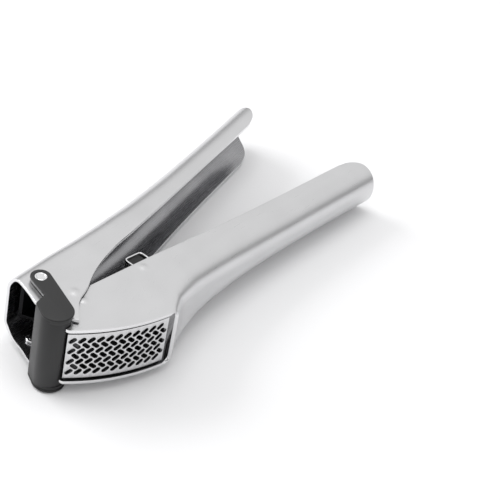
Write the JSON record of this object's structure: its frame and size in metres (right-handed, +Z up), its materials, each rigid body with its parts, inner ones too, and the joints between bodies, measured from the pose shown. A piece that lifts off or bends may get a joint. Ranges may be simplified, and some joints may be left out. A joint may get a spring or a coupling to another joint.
{
  "type": "garlic press",
  "caption": "Two-handled garlic press of pressed steel with a curved sieve insert, hinged plunger and plastic lock bracket.",
  "frame": {"origin": "on the main hinge axis, in the outer face of the bracket's lower arm, which the press lies on", "axes": "+X along the lower handle to its tip, +Y from the lower to the upper handle, +Z up along the hinge axes"},
  "size_m": [0.1975, 0.0949, 0.0368],
  "materials": {
    "satin_steel": "satin",
    "sieve_steel": "fine satin",
    "polished_steel": "polished",
    "rivet_steel": "turned",
    "black_plastic": "fine matt texture",
    "plunger_plastic": "matt"
  },
  "bodies": {
    "lower_grip": {"lower_handle": "satin_steel", "sieve_plate": "sieve_steel", "insert_frame": "sieve_steel", "insert_arms": "sieve_steel", "lift_tab": "polished_steel", "tab_grip": "black_plastic", "tab_bar": "polished_steel", "pivot_pin": "polished_steel", "pivot_sleeve": "polished_steel", "washer_top": "polished_steel", "washer_bottom": "polished_steel"},
    "upper_grip": {"upper_handle": "satin_steel", "plunger_hanger": "satin_steel", "plunger_pin": "polished_steel", "rivet_top": "rivet_steel", "rivet_bottom": "rivet_steel", "collar_top": "rivet_steel", "collar_bottom": "rivet_steel"},
    "lock": {"bracket": "black_plastic"},
    "plunger": {"plunger_foot": "sieve_steel", "plunger_block": "plunger_plastic"}
  },
  "joints": [
    {"name": "handle_hinge", "type": "hinge", "parent": "lower_grip", "child": "upper_grip", "pos_m": [0, 0, 0.0184], "axis": [0, 0, 1], "range_deg": [-14.5, 60]},
    {"name": "bracket_hinge", "type": "hinge", "parent": "upper_grip", "child": "lock", "pos_m": [0.00834, 0.01848, 0.0184], "axis": [0, 0, 1], "range_deg": [-100, 0]},
    {"name": "plunger_hinge", "type": "hinge", "parent": "upper_grip", "child": "plunger", "pos_m": [0.01842, 0.01664, 0.0184], "axis": [0, 0, 1], "range_deg": [-3.8, 1]}
  ],
  "couplings": [
    {"joint": "plunger_hinge", "follows": "handle_hinge", "ratio": -0.06}
  ]
}
